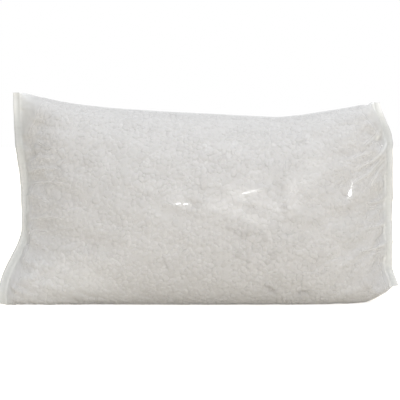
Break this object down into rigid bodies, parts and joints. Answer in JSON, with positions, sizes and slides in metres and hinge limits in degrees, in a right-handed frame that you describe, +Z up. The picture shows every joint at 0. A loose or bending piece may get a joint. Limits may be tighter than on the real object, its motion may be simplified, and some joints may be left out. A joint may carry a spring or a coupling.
{
  "type": "bag of fiberfill balls",
  "caption": "Clear film pillow bag, sealed across both ends and stuffed with small white polyester fibre balls, standing on one long edge.",
  "frame": {"origin": "on the floor, under the middle of the bag", "axes": "+X from the left end seal to the right one, +Y from the front face to the back face, +Z up"},
  "size_m": [0.4986, 0.1486, 0.264],
  "materials": {
    "clear_film": "thin clear polyethylene film, slightly hazy, with soft glossy creases",
    "fibre_balls": "matt off-white polyester fibre rolled into small balls"
  },
  "bodies": {
    "root": {"film_bag": "clear_film", "fiberfill_balls": "fibre_balls"}
  },
  "joints": []
}
